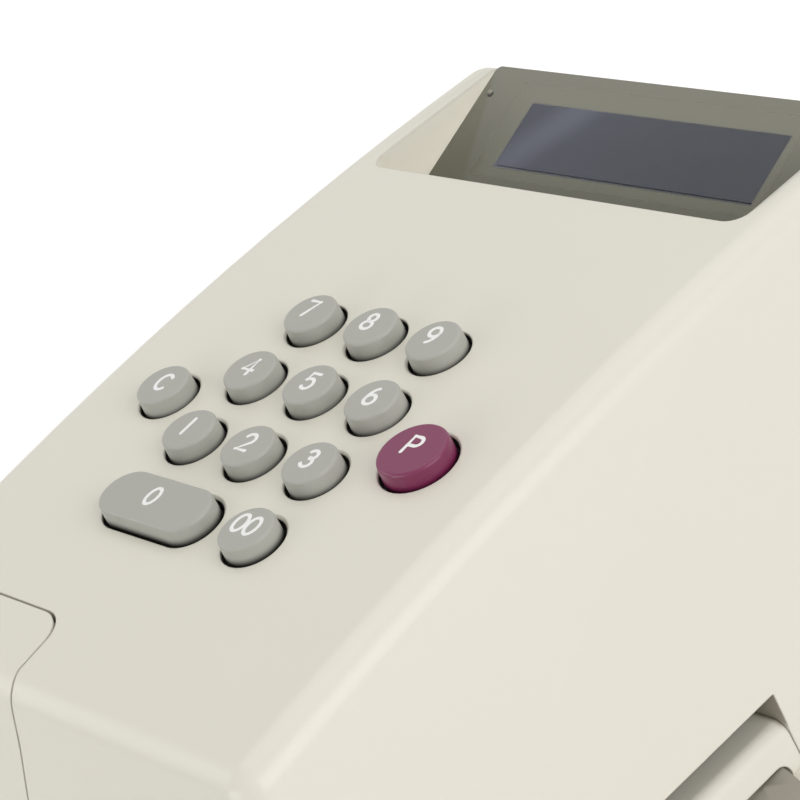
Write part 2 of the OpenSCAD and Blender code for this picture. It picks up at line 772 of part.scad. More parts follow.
module mechanism_screws() {
    color(steel) for (p = frame_screws) translate([p[0], p[1], head_z + 1.7 + sheet_t]) {
        cylinder(r = 2.2, h = 1.4);
        translate([0, 0, -3]) cylinder(r = 1.15, h = 3.1);
    }
}

// ---- Paper feed ----

feed_z = table_z + 0.6 - feed_r;
pinch_z = table_z + 0.6 + 0.35 + pinch_r;
feed_motor_x = feed_x - centre_gap(feed_n);
feed_motor_l = 20;
feed_gear_y = upright_y + sheet_t + 1.5;
pinch_pin_r = 2;
lever_shaft_r = 3;
lever_bearings = [-34, 26.4];
crank_y = 19.8;
crank_t = 6;

module feed_roller() {
    color(rubber) difference() {
        along_y(feed_x, -73, -51, feed_z, feed_r);
        along_y(feed_x, -90, 0, feed_z, shaft_r);
    }
}

module feed_shaft() {
    color(steel) along_y(feed_x, -80, 22, feed_z, shaft_r);
}

module feed_gear() {
    color(ivory) translate([feed_x, feed_gear_y + 5, feed_z]) rotate([90, 0, 0]) rotate(180)
        spur_gear(feed_n, 5, shaft_r);
}

module feed_motor() {
    color(steel) difference() {
        union() {
            translate([feed_motor_x, feed_gear_y + 8.5 + feed_motor_l, feed_z])
                rotate([90, 0, 0]) motor(feed_motor_l);
            box(feed_motor_x - 8, feed_gear_y + 9.5, chassis_z + sheet_t, feed_motor_x + 8, feed_gear_y + 20, feed_z - 6);
        }
        along_y(feed_motor_x, feed_gear_y, feed_gear_y + 22, feed_z, spindle_r + 0.05);
    }
}

module feed_pinion() {
    color(brass) translate([feed_motor_x, feed_gear_y + 5.5, feed_z]) rotate([90, 0, 0]) rotate(180 / pinion_n)
        pinion(14);
}

module pinch_pin() {
    color(steel) along_y(pinch_pivot_x, -82, 31, pinch_pivot_z, pinch_pin_r);
}

// A shaft with a forked arm to the roller at the front and a tail for the lever behind the throat.
module pinch_arm() {
    color(steel) difference() {
        union() {
            along_y(pinch_pivot_x, -76.5, 28, pinch_pivot_z, 4);
            for (y = [-76.5, -49.5]) translate([0, y + 2, 0]) rotate([90, 0, 0]) linear_extrude(2) polygon([
                [feed_x - 3, pinch_z - 2.5], [feed_x + 3, pinch_z - 2.5], [pinch_pivot_x + 3, pinch_pivot_z - 4],
                [pinch_pivot_x + 3, pinch_pivot_z + 4], [feed_x - 3, pinch_z + 5]]);
            box(pinch_pivot_x - 12, -76.5, pinch_pivot_z + 1, pinch_pivot_x + 3, -47.5, pinch_pivot_z + 4);
            box(20, 18, pinch_pivot_z - 1.5, pinch_pivot_x, 26, pinch_pivot_z + 1.5);
        }
        along_y(pinch_pivot_x, -90, 40, pinch_pivot_z, pinch_pin_r + 0.05);
        along_y(feed_x, -90, 0, pinch_z, 1.3);
    }
}

module pinch_roller() {
    color(rubber) {
        along_y(feed_x, -73, -51, pinch_z, pinch_r);
        along_y(feed_x, -77, -47, pinch_z, 1.25);
    }
}

module pinch_spring() {
    color(steel) {
        box(24, -66, 60.8, 56, -58, 61.4);
        box(52, -66, head_z + 1.6, 56, -58, 61.4);
    }
}

// The finger tab is dished; a shaft runs back behind the throat to the crank that lifts the pinch arm.
module release_lever() {
    tab_front = notch_front + 1;
    tab_back = notch_back - 1.2;
    tab_mid = (tab_front + tab_back) / 2;
    color(lever_grey) difference() {
        union() {
            along_y(lever_x, lever_bearings[0], lever_bearings[1] + 4, lever_z, lever_shaft_r);
            translate([0, tab_back, 0]) rotate([90, 0, 0]) linear_extrude(tab_back - tab_front) polygon([
                [lever_x, lever_z - 3], [lever_x + 10, lever_z - 1.5], [base_half - 1.5, foot_z - 5.5],
                [base_half, foot_z - 4.5], [base_half, foot_z - 3], [base_half - 3, foot_z + 0.2],
                [foot_half - 1, notch_z - 0.8], [lever_x + 8, notch_z - 1.5], [lever_x, lever_z + 3]]);
            translate([0, crank_y + crank_t, 0]) rotate([90, 0, 0]) linear_extrude(crank_t) polygon([
                [lever_x, lever_z - 3], [lever_x, lever_z + 3], [34, lever_z + 3], [34, pinch_pivot_z - 4.5],
                [28, pinch_pivot_z - 4.5], [28, lever_z - 3]]);
        }
        translate([base_half + 3, tab_mid, foot_z + 26]) sphere(26.5, $fn = 64);
    }
}

module lever_spring() {
    color(steel) {
        box(lever_x - 20, -20, chassis_z, lever_x - 8, -14, chassis_z + 0.6);
        translate([0, -14, 0]) rotate([90, 0, 0]) linear_extrude(6) polygon([
            [lever_x - 8.5, chassis_z], [lever_x - 8, chassis_z], [lever_x + 5, lever_z - 5.4],
            [lever_x + 5, lever_z - 4.8], [lever_x + 4, lever_z - 4.8]]);
    }
}

// ---- Rear connections ----

// Frame on the back of the casing: X to the left seen from behind, Z leaves the back.
back_foot = foot_z + 1;
back_rail = rail_point(rail_back);
back_reach = norm([foot_len - back_rail[1], back_rail[2] - back_foot]);
back_lean = atan((foot_len - back_rail[1]) / (back_rail[2] - back_foot)) - asin(edge_r / back_reach);
switch_x = 48;
switch_z = 46;
module back_frame() {
    translate([switch_x, foot_len - (switch_z - back_foot) * tan(back_lean), switch_z])
        rotate([back_lean - 90, 0, 0]) children();
}

switch_w = 14;
switch_l = 20;
module switch_body() {
    color(rubber) back_frame() difference() {
        union() {
            box(-switch_w / 2 + 0.1, -switch_l / 2 + 0.1, -9, switch_w / 2 - 0.1, switch_l / 2 - 0.1, 0.5);
            box(-switch_w / 2 - 1.5, -switch_l / 2 - 1.5, 0.05, switch_w / 2 + 1.5, switch_l / 2 + 1.5, 1.7);
        }
        box(-switch_w / 2 + 1.4, -switch_l / 2 + 1.4, -7.5, switch_w / 2 - 1.4, switch_l / 2 - 1.4, 5);
        along_x(-switch_w / 2 + 0.4, switch_w / 2 - 0.4, 0, 0, rocker_pin_r + 0.05);
    }
}

// The rocker rests with its lower end pressed in.
rocker_tilt = 8;
rocker_pin_r = 1;
module power_switch() {
    half_w = switch_w / 2 - 1.7;
    half_l = switch_l / 2 - 2.1;
    color(dark_grey) back_frame() {
        rotate([-rocker_tilt, 0, 0]) translate([-half_w, 0, 0])
            rotate([90, 0, 90]) linear_extrude(2 * half_w) polygon([[-half_l, -0.5], [-half_l, 2.9], [0, 1.6],
                [half_l, 2.9], [half_l, -0.5], [2.5, -5], [-2.5, -5]]);
        along_x(-half_w - 1.2, half_w + 1.2, 0, 0, rocker_pin_r);
    }
}

inlet_x = 28;
inlet_r = 4.6;
inlet_z = main_board_z + 1.6 + 5;
module dc_inlet() {
    inlet_back = base_len - 1.2;
    color(rubber) difference() {
        union() {
            box(inlet_x - 5, 106, main_board_z + 1.6, inlet_x + 5, 118, main_board_z + 10);
            along_y(inlet_x, 117, inlet_back - 0.8, inlet_z, inlet_r);
        }
        along_y(inlet_x, 110, inlet_back + 1, inlet_z, 2.8);
    }
    color(steel) along_y(inlet_x, 108, inlet_back - 3, inlet_z, 0.9);
}

upper_case();
base();
paper_table();
head_plate();
chassis();
ink_cover();
cover_hinge_pin();
display_window();
lcd_module();
display_board();
key_0();
key_00();
key_1();
key_2();
key_3();
key_4();
key_5();
key_6();
key_7();
key_8();
key_9();
key_clear();
key_print();
key_mat();
keypad_board();
main_board();
mechanism_frame();
type_wheel();
wheel_shaft();
wheel_gear();
print_motor();
print_pinion();
ink_roller();
ink_roller_core();
platen();
feed_roller();
feed_shaft();
feed_gear();
feed_motor();
feed_pinion();
pinch_arm();
pinch_roller();
pinch_pin();
pinch_spring();
release_lever();
lever_spring();
switch_body();
power_switch();
dc_inlet();
feet();
case_screws();
board_screws();
mechanism_screws();
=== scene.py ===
"""Looks of an electronic check writer: casing, keys, display, throat, lever and mechanism."""

import json
import math

import bmesh
import bpy
from mathutils import Matrix, Vector
from mathutils.bvhtree import BVHTree

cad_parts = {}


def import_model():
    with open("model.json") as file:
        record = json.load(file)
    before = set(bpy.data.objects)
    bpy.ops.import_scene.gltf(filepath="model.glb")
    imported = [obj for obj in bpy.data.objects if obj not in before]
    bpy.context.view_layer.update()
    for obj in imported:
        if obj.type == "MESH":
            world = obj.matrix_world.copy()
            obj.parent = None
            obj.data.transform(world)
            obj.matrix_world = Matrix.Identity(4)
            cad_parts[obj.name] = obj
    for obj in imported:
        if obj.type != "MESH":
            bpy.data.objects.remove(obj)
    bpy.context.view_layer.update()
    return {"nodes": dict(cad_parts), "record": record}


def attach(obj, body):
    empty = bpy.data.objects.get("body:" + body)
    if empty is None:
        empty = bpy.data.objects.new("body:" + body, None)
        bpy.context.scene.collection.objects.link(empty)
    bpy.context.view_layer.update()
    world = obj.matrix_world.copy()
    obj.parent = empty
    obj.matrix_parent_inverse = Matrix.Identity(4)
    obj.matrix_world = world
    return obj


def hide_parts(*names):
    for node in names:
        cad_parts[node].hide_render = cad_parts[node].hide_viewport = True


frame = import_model()

SCENE = bpy.context.scene
COLLECTION = SCENE.collection

# Sizes and places of the machine are in millimetres, and MM brings them to metres.
MM = 0.001
ACROSS, BACK, UP = Vector((1.0, 0.0, 0.0)), Vector((0.0, 1.0, 0.0)), Vector((0.0, 0.0, 1.0))

# The panel follows one long arc through the 5 key, as the casing does.
KEY5 = Vector((0.0, -16.0, 113.85))
PANEL_R = 950.0
PANEL_TILT = math.radians(6.2)
PANEL_NORMAL = Vector((0.0, -math.sin(PANEL_TILT), math.cos(PANEL_TILT)))
ARC_Y = KEY5.y + PANEL_R * math.sin(PANEL_TILT)
ARC_Z = KEY5.z - PANEL_R * math.cos(PANEL_TILT)
PITCH = 19.0

# The casing is a rounding of 7 mm run round a straight-sided core.
EDGE_R = 7.0
PANEL_HALF = 64.4
PANEL_FRONT, PANEL_BACK = -101.0, 103.5
FRONT_TURN, BACK_TURN = math.radians(61.6), math.radians(76.6)
FOOT_HALF, FOOT_LEN, FOOT_Z = 80.3, 124.5, 24.0

# The window lies in a plane of its own.
WINDOW = Vector((0.0, 100.0, 118.97))
WINDOW_TILT = math.radians(21.5)
WINDOW_T = 2.0
WINDOW_UP = Vector((0.0, math.cos(WINDOW_TILT), math.sin(WINDOW_TILT)))
WINDOW_NORMAL = Vector((0.0, -math.sin(WINDOW_TILT), math.cos(WINDOW_TILT)))
WINDOW_AT = Matrix.Translation(WINDOW * MM) @ Matrix.Rotation(WINDOW_TILT, 4, "X")
WINDOW_TURN = WINDOW_AT.inverted()

# Places in the window's plane are across and up from its middle line and its far edge.
SCREEN_MIDDLE = -0.6, -16.0
SCREEN_HALF = 39.0, 9.3
PAINT_OPENING_HALF = 43.0, 13.3


# ---- Materials ----

# The colour sockets of a Mix node share their names with its others, so they go by index.
MIX_FACTOR, MIX_A, MIX_B, MIX_RESULT = 0, 6, 7, 2
BEVEL_SAMPLES = 6
# Noise seldom leaves this range, so the gloss runs over it.
NOISE_LOW, NOISE_HIGH = 0.3, 0.7
# A spot has faded out at this many times its size.
SPOT_FADE = 1.6


class Recipe:
    """A procedural material under construction: nodes are added by name and wired by socket."""

    def __init__(self, name, base, roughness, metallic=0.0, specular=0.5):
        self.material = bpy.data.materials.new(name)
        self.material.use_nodes = True
        self.nodes = self.material.node_tree.nodes
        self.links = self.material.node_tree.links
        self.shader = self.nodes["Principled BSDF"].inputs
        self.feed(self.shader["Base Color"], base)
        self.feed(self.shader["Roughness"], roughness)
        self.feed(self.shader["Metallic"], metallic)
        self.feed(self.shader["Specular IOR Level"], specular)
        self.place = self.add("ShaderNodeTexCoord").outputs["Object"]
        self.normal = None

    def add(self, kind, **settings):
        node = self.nodes.new(kind)
        for key, value in settings.items():
            setattr(node, key, value)
        return node

    def feed(self, socket, value):
        """A socket gets a link from another socket, or a constant of its own."""
        if isinstance(value, bpy.types.NodeSocket):
            self.links.new(value, socket)
        elif socket.type == "RGBA":
            socket.default_value = (*value, 1.0)
        else:
            socket.default_value = value

    def math(self, operation, *values):
        node = self.add("ShaderNodeMath", operation=operation)
        for socket, value in zip(node.inputs, values):
            self.feed(socket, value)
        return node.outputs[0]

    def vector(self, operation, *values):
        node = self.add("ShaderNodeVectorMath", operation=operation)
        for socket, value in zip(node.inputs, values):
            self.feed(socket, value)
        return node.outputs["Value" if operation in ("DOT_PRODUCT", "LENGTH") else "Vector"]

    def both(self, first, *others):
        """The product of several factors, which is 1 only where all of them are."""
        for other in others:
            first = self.math("MULTIPLY", first, other)
        return first

    def ramp(self, value, *stops):
        """A smooth run between two stops, each a value and what it turns into."""
        node = self.add("ShaderNodeMapRange", interpolation_type="SMOOTHSTEP")
        (low, low_out), (high, high_out) = stops
        names = ("From Min", "From Max", "To Min", "To Max")
        for name, number in zip(names, (low, high, low_out, high_out)):
            self.feed(node.inputs[name], number)
        self.feed(node.inputs["Value"], value)
        return node.outputs["Result"]

    def rise(self, distance, low, high):
        """0 up to one distance and 1 from the other on, both in millimetres."""
        return self.ramp(distance, (low * MM, 0.0), (high * MM, 1.0))

    def fall(self, distance, low, high):
        """1 up to one distance and 0 from the other on, both in millimetres."""
        return self.ramp(distance, (low * MM, 1.0), (high * MM, 0.0))

    def along(self, direction, origin=(0.0, 0.0, 0.0)):
        """Distance in metres along a direction, from a point."""
        return self.vector("DOT_PRODUCT", self.vector("SUBTRACT", self.place, origin), direction)

    def above_panel(self):
        """Height in metres over the panel's arc, which is negative below it."""
        shift = self.vector("SUBTRACT", self.place, (0.0, ARC_Y * MM, ARC_Z * MM))
        upright = self.vector("MULTIPLY", shift, (0.0, 1.0, 1.0))
        return self.math("SUBTRACT", self.vector("LENGTH", upright), PANEL_R * MM)

    def noise(self, scale, detail=2.0, roughness=0.5, stretch=None):
        place = self.place
        if stretch:
            mapping = self.add("ShaderNodeMapping")
            self.feed(mapping.inputs["Scale"], stretch)
            self.feed(mapping.inputs["Vector"], place)
            place = mapping.outputs["Vector"]
        node = self.add("ShaderNodeTexNoise")
        self.feed(node.inputs["Scale"], scale)
        self.feed(node.inputs["Detail"], detail)
        self.feed(node.inputs["Roughness"], roughness)
        self.feed(node.inputs["Vector"], place)
        return node.outputs["Fac"]

    def spots(self, scale, size):
        """Small round marks: 1 on a mark and 0 elsewhere."""
        cells = self.add("ShaderNodeTexVoronoi")
        self.feed(cells.inputs["Scale"], scale)
        self.feed(cells.inputs["Vector"], self.place)
        return self.ramp(cells.outputs["Distance"], (size, 1.0), (size * SPOT_FADE, 0.0))

    def blend(self, factor, under, over):
        """The base colour runs from one colour to another; each is a socket or three numbers."""
        node = self.add("ShaderNodeMix", data_type="RGBA")
        self.feed(node.inputs[MIX_A], under)
        self.feed(node.inputs[MIX_B], over)
        self.feed(node.inputs[MIX_FACTOR], factor)
        self.feed(self.shader["Base Color"], node.outputs[MIX_RESULT])
        return node.outputs[MIX_RESULT]

    def shine(self, factor, low, high):
        """The roughness runs between two values."""
        gloss = self.ramp(factor, (NOISE_LOW, low), (NOISE_HIGH, high))
        self.feed(self.shader["Roughness"], gloss)

    def round_edges(self, radius):
        """Sharp edges catch the light as if they were rounded."""
        node = self.add("ShaderNodeBevel", samples=BEVEL_SAMPLES)
        self.feed(node.inputs["Radius"], radius)
        self.turn_surface(node)

    def bump(self, factor, depth):
        """A relief of a depth in millimetres."""
        node = self.add("ShaderNodeBump")
        self.feed(node.inputs["Strength"], 1.0)
        self.feed(node.inputs["Distance"], depth * MM)
        self.feed(node.inputs["Height"], factor)
        if self.normal is not None:
            self.feed(node.inputs["Normal"], self.normal)
        self.turn_surface(node)

    def turn_surface(self, node):
        self.normal = node.outputs["Normal"]
        self.feed(self.shader["Normal"], self.normal)


def any_ray(nodes, links, first, *others):
    """1 for a light path of any of the kinds named and 0 for the rest."""
    path = nodes.new("ShaderNodeLightPath")
    total = path.outputs[f"Is {first} Ray"]
    for other in others:
        either = nodes.new("ShaderNodeMath")
        either.operation = "MAXIMUM"
        links.new(total, either.inputs[0])
        links.new(path.outputs[f"Is {other} Ray"], either.inputs[1])
        total = either.outputs[0]
    return total


# The radius that the casing's edges seem to have, and the one round the recess.
EDGE_SOFTNESS, RECESS_SOFTNESS = 0.45, 2.6
# Where the casing's edge softness and its painted shade change: each pair holds the places between
# which it fades.
RECESS_ASIDE, RECESS_FRONT, RECESS_HEIGHT = (51.5, 53.0), (58.0, 66.0), (98.0, 104.0)
THROAT_FLOOR, THROAT_ROOF = (32.5, 34.5), (40.8, 41.2)
THROAT_WALL, THROAT_END = (6.5, 7.9), (7.9, 8.5)
HOLE_FOOT, HOLE_TOP = (-9.0, -8.0), (-1.1, -0.3)
KEYPAD_ASIDE, KEYPAD_FRONT, KEYPAD_BACK = (56.0, 57.0), (-77.0, -75.0), (50.0, 52.0)
# How much painted shade the throat's end wall gets.
WALL_SHADE = 0.68


def ivory_moulding():
    """Ivory plastic: soft edges round the recess, dust specks, and painted shade deep in the throat
    and down the key holes.
    """
    light, aged = (0.775, 0.752, 0.665), (0.76, 0.73, 0.635)
    speck, throat_shade, unlit = (0.36, 0.31, 0.24), (0.2, 0.16, 0.1), (0.03, 0.027, 0.02)
    r = Recipe("ivory_moulding", light, roughness=0.3, specular=0.45)
    across, back, up = r.math("ABSOLUTE", r.along(ACROSS)), r.along(BACK), r.along(UP)
    # the recess has softer upper edges than the rest
    rim = r.both(r.rise(across, *RECESS_ASIDE), r.rise(back, *RECESS_FRONT))
    rim = r.both(rim, r.rise(up, *RECESS_HEIGHT))
    r.round_edges(r.ramp(rim, (0.0, EDGE_SOFTNESS * MM), (1.0, RECESS_SOFTNESS * MM)))
    # a few dust specks, as on any used office machine, and painted shade on the throat's end wall
    clean = r.blend(r.noise(scale=9.0, detail=3.0), light, aged)
    specked = r.blend(r.spots(scale=38.0, size=0.007), clean, speck)
    deep = r.both(r.fall(up, *THROAT_ROOF), r.rise(up, *THROAT_FLOOR), r.fall(back, *THROAT_END))
    start, end = THROAT_WALL
    wall = r.ramp(back, (start * MM, 0.0), (end * MM, WALL_SHADE))
    throat_shaded = r.blend(r.both(deep, wall), specked, throat_shade)
    # painted shade: the key holes are darkened, as no light reaches down them
    height = r.above_panel()
    hole = r.both(r.fall(height, *HOLE_TOP), r.rise(height, *HOLE_FOOT))
    keypad = r.both(r.fall(across, *KEYPAD_ASIDE), r.fall(back, *KEYPAD_BACK))
    keypad = r.both(keypad, r.rise(back, *KEYPAD_FRONT))
    r.blend(r.both(hole, keypad), throat_shaded, unlit)
    r.shine(r.noise(scale=55.0), low=0.29, high=0.34)
    r.bump(r.noise(scale=2200.0), depth=0.006)
    return r.material


# A key is darkened as painted shade from a height over the panel down to a depth in its hole.
KEY_SHADE_TOP, PRINT_KEY_SHADE_TOP = 0.5, 0.3
KEY_SHADE_FOOT = -1.6
# Where the product of two noises passes these values, the plum is rubbed paler.
RUB_START, RUB_FULL = 0.47, 0.52


def key_shade(r, top):
    """Painted shade: 0 on a key's crown and 1 down in its hole."""
    return r.fall(r.along(PANEL_NORMAL, KEY5 * MM), KEY_SHADE_FOOT, top)


def key_moulding():
    light, dark, unlit = (0.42, 0.423, 0.385), (0.40, 0.40, 0.362), (0.012, 0.011, 0.009)
    r = Recipe("key_moulding", light, roughness=0.45)
    grey = r.blend(r.noise(scale=60.0, detail=3.0), light, dark)
    # painted shade: darker down the key's sides into its hole
    r.blend(key_shade(r, KEY_SHADE_TOP), grey, unlit)
    r.shine(r.noise(scale=300.0), low=0.4, high=0.5)
    r.bump(r.noise(scale=3500.0), depth=0.006)
    return r.material


def plum_moulding():
    """Plum plastic, rubbed paler in fine scratches, as on the key that is used most."""
    plum, worn, unlit = (0.19, 0.018, 0.078), (0.62, 0.36, 0.46), (0.01, 0.004, 0.006)
    r = Recipe("plum_moulding", plum, roughness=0.36)
    scratch = r.noise(scale=260.0, detail=1.0, roughness=0.4, stretch=(3.0, 0.35, 1.0))
    patch = r.noise(scale=90.0)
    rubbed = r.ramp(r.both(scratch, patch), (RUB_START, 0.0), (RUB_FULL, 1.0))
    coat = r.blend(rubbed, plum, worn)
    # painted shade: darker down the key's sides into its hole
    r.blend(key_shade(r, PRINT_KEY_SHADE_TOP), coat, unlit)
    r.shine(patch, low=0.3, high=0.4)
    r.bump(r.noise(scale=3500.0), depth=0.006)
    return r.material


def printed_white():
    r = Recipe("printed_white", (0.93, 0.93, 0.92), roughness=0.5)
    r.blend(r.noise(scale=1500.0), (0.94, 0.94, 0.93), (0.88, 0.88, 0.87))
    r.bump(r.noise(scale=3000.0, detail=1.0), depth=0.004)
    return r.material


# Between these depths under its face the pane's front paint gives way to the paint at its back.
PAINT_DEPTH = -1.9, -1.7
# The paint grows paler between these places up the pane.
PAINT_FADE = -38.0, 4.0
# What is left of the paint over the screen, and how soft the edges of both openings are.
CLEAR = 0.04
FRONT_EDGE, BACK_EDGE = 0.9, 0.45
# How uneven the paint is, and how much paler at the back.
UNEVENNESS, BACK_PALER = 0.12, 0.05


def opening(r, half, soft):
    """1 inside a rectangle round the screen's middle and 0 outside, with a soft edge."""
    aside, along = SCREEN_MIDDLE
    middle = (WINDOW + ACROSS * aside + WINDOW_UP * along) * MM
    sides = []
    for direction, reach in zip((ACROSS, WINDOW_UP), half):
        distance = r.math("ABSOLUTE", r.along(direction, middle))
        sides.append(r.fall(distance, reach - soft, reach + soft))
    return r.both(*sides)


def painted_window():
    """A glossy painted pane, clear over the screen and wider so in front than at its back."""
    olive, far_tone, pale = (0.1, 0.1, 0.067), (0.215, 0.21, 0.165), (0.5, 0.5, 0.4)
    r = Recipe("painted_window", (0.15, 0.15, 0.11), roughness=0.12)
    front = r.rise(r.along(WINDOW_NORMAL, WINDOW * MM), *PAINT_DEPTH)
    back = r.math("SUBTRACT", 1.0, front)
    paint = r.blend(r.rise(r.along(WINDOW_UP, WINDOW * MM), *PAINT_FADE), olive, far_tone)
    uneven = r.blend(r.both(r.noise(scale=20.0), UNEVENNESS), paint, olive)
    r.blend(r.both(back, BACK_PALER), uneven, pale)
    before = r.both(front, opening(r, PAINT_OPENING_HALF, FRONT_EDGE))
    behind = r.both(back, opening(r, SCREEN_HALF, BACK_EDGE))
    solid = r.ramp(r.math("ADD", before, behind), (0.0, 1.0), (1.0, CLEAR))
    # the paint in front throws no shade on the paint at the back
    unseen = any_ray(r.nodes, r.links, "Shadow", "Diffuse", "Glossy")
    r.feed(r.shader["Alpha"], r.both(solid, r.math("SUBTRACT", 1.0, r.both(unseen, 1.0 - CLEAR))))
    r.shine(r.noise(scale=120.0, detail=3.0), low=0.1, high=0.16)
    return r.material


# The painted highlight streak on the screen: a point on it, the direction across it, and how far it
# reaches.
HIGHLIGHT_STREAK = WINDOW + WINDOW_UP * -15.3 + ACROSS * -31.0
HIGHLIGHT_SIDE = Vector((0.78, -0.577, -0.227))
HIGHLIGHT_REACH = 8.5
# The screen is painted brighter towards its left end as a painted sheen, by so much, and the gain
# ends at its right.
SCREEN_LEFT, SCREEN_RIGHT, SCREEN_GAIN = -35.0, 30.0, 0.7


def dark_screen():
    """Nearly black glass, with a painted sheen towards its left end and a paler painted highlight
    streak near it.
    """
    glass, deep = (0.02, 0.026, 0.044), (0.016, 0.022, 0.038)
    painted_sheen, painted_highlight = (0.045, 0.05, 0.082), (0.085, 0.095, 0.14)
    r = Recipe("dark_screen", (0.025, 0.031, 0.053), roughness=0.3)
    left = r.ramp(r.along(ACROSS), (SCREEN_LEFT * MM, SCREEN_GAIN), (SCREEN_RIGHT * MM, 0.0))
    # painted sheen, brighter towards the left end
    plain = r.blend(left, r.blend(r.noise(scale=60.0), glass, deep), painted_sheen)
    # painted highlight streak across the screen
    aside = r.math("ABSOLUTE", r.along(HIGHLIGHT_SIDE, HIGHLIGHT_STREAK * MM))
    r.blend(r.fall(aside, 0.0, HIGHLIGHT_REACH), plain, painted_highlight)
    r.shine(r.noise(scale=90.0), low=0.28, high=0.34)
    return r.material


# The gloss of plain plastics strays this far from their usual one.
SHINIER, DULLER = 0.04, 0.05


def screen_bezel():
    r = Recipe("screen_bezel", (0.8, 0.76, 0.52), roughness=0.5)
    r.blend(r.noise(scale=40.0), (0.82, 0.78, 0.54), (0.77, 0.73, 0.5))
    r.bump(r.noise(scale=1500.0), depth=0.006)
    return r.material


def moulded(name, light, dark, roughness):
    """Moulded plastic: a fine grain, a slow drift of colour and slightly uneven gloss."""
    r = Recipe(name, light, roughness)
    r.blend(r.noise(scale=14.0, detail=3.0), light, dark)
    r.shine(r.noise(scale=55.0), roughness - SHINIER, roughness + DULLER)
    r.bump(r.noise(scale=2600.0), depth=0.01)
    return r.material


def rolled_steel():
    r = Recipe("rolled_steel", (0.56, 0.57, 0.58), roughness=0.34, metallic=1.0)
    r.blend(r.noise(scale=30.0, detail=3.0), (0.58, 0.585, 0.59), (0.50, 0.505, 0.51))
    r.shine(r.noise(scale=200.0, detail=3.0, stretch=(0.1, 1.0, 1.0)), low=0.28, high=0.4)
    r.bump(r.noise(scale=900.0, stretch=(0.05, 1.0, 1.0)), depth=0.008)
    return r.material


def turned_brass():
    r = Recipe("turned_brass", (0.62, 0.46, 0.2), roughness=0.3, metallic=1.0)
    r.blend(r.noise(scale=60.0, detail=3.0), (0.64, 0.48, 0.21), (0.52, 0.37, 0.15))
    r.bump(r.noise(scale=1200.0, stretch=(0.1, 1.0, 1.0)), depth=0.006)
    return r.material


def black_rubber():
    r = Recipe("black_rubber", (0.035, 0.035, 0.035), roughness=0.75)
    r.blend(r.noise(scale=400.0, detail=3.0), (0.04, 0.04, 0.039), (0.026, 0.026, 0.026))
    r.bump(r.noise(scale=1800.0), depth=0.03)
    return r.material


def inked_foam():
    r = Recipe("inked_foam", (0.02, 0.014, 0.05), roughness=0.6)
    r.blend(r.noise(scale=900.0, detail=3.0), (0.03, 0.02, 0.07), (0.012, 0.008, 0.03))
    r.bump(r.spots(scale=1500.0, size=0.25), depth=0.1)
    return r.material


def circuit_board():
    r = Recipe("circuit_board", (0.02, 0.11, 0.045), roughness=0.35)
    tracks = r.add("ShaderNodeTexBrick")
    r.feed(tracks.inputs["Scale"], 90.0)
    r.feed(tracks.inputs["Mortar Size"], 0.04)
    r.feed(tracks.inputs["Vector"], r.place)
    r.blend(tracks.outputs["Fac"], (0.018, 0.1, 0.04), (0.03, 0.17, 0.07))
    return r.material


IVORY = ivory_moulding()
KEY_GREY = key_moulding()
PLUM = plum_moulding()
LEGEND_WHITE = printed_white()
PANE = painted_window()
SCREEN = dark_screen()
BEZEL = screen_bezel()
LEVER_GREY = moulded("lever_moulding", (0.285, 0.265, 0.215), (0.265, 0.245, 0.195), roughness=0.48)
DARK = moulded("dark_moulding", (0.035, 0.035, 0.035), (0.028, 0.028, 0.028), roughness=0.5)
ACETAL = moulded("acetal", (0.75, 0.73, 0.67), (0.72, 0.69, 0.62), roughness=0.45)
STEEL = rolled_steel()
BRASS = turned_brass()
RUBBER = black_rubber()
FOAM = inked_foam()
BOARD = circuit_board()

FINISHES = {
    "casing": IVORY, "lever_plastic": LEVER_GREY, "key_plastic": KEY_GREY, "print_key": PLUM,
    "dark_plastic": DARK, "black_plastic": DARK, "gear_plastic": ACETAL, "rubber": RUBBER,
    "window": PANE, "screen": SCREEN, "board": BOARD,
    "steel": STEEL, "brass": BRASS, "ink_foam": FOAM,
}
SLOT_OF = {entry["node"]: entry["material_slot"] for entry in frame["record"]["subparts"]}


def finish_nodes():
    """Every carried-over solid gets the finish of its slot."""
    for name, obj in frame["nodes"].items():
        obj.data.materials.clear()
        obj.data.materials.append(FINISHES[SLOT_OF[name]])


# ---- Pieces made from the solids ----

# Corners closer than this are made one. Faces that turn less than FLAT are made one too, and an
# edge that turns more than SHARP stays sharp.
MERGE = 0.002
FLAT, SHARP = math.radians(0.4), math.radians(35.0)
NORMAL_WEIGHT = 90


def object_from(bm, name, material):
    mesh = bpy.data.meshes.new(name)
    bm.to_mesh(mesh)
    bm.free()
    return linked(mesh, name, material)


def linked(data, name, material=None):
    """An object at the origin, with a mesh, curve, lamp or camera as its data."""
    obj = bpy.data.objects.new(name, data)
    COLLECTION.objects.link(obj)
    if material is not None:
        data.materials.append(material)
    return obj


def made_from(obj):
    """What an object's modifiers make of it, as a mesh of its own."""
    graph = bpy.context.evaluated_depsgraph_get()
    return bpy.data.meshes.new_from_object(obj.evaluated_get(graph))


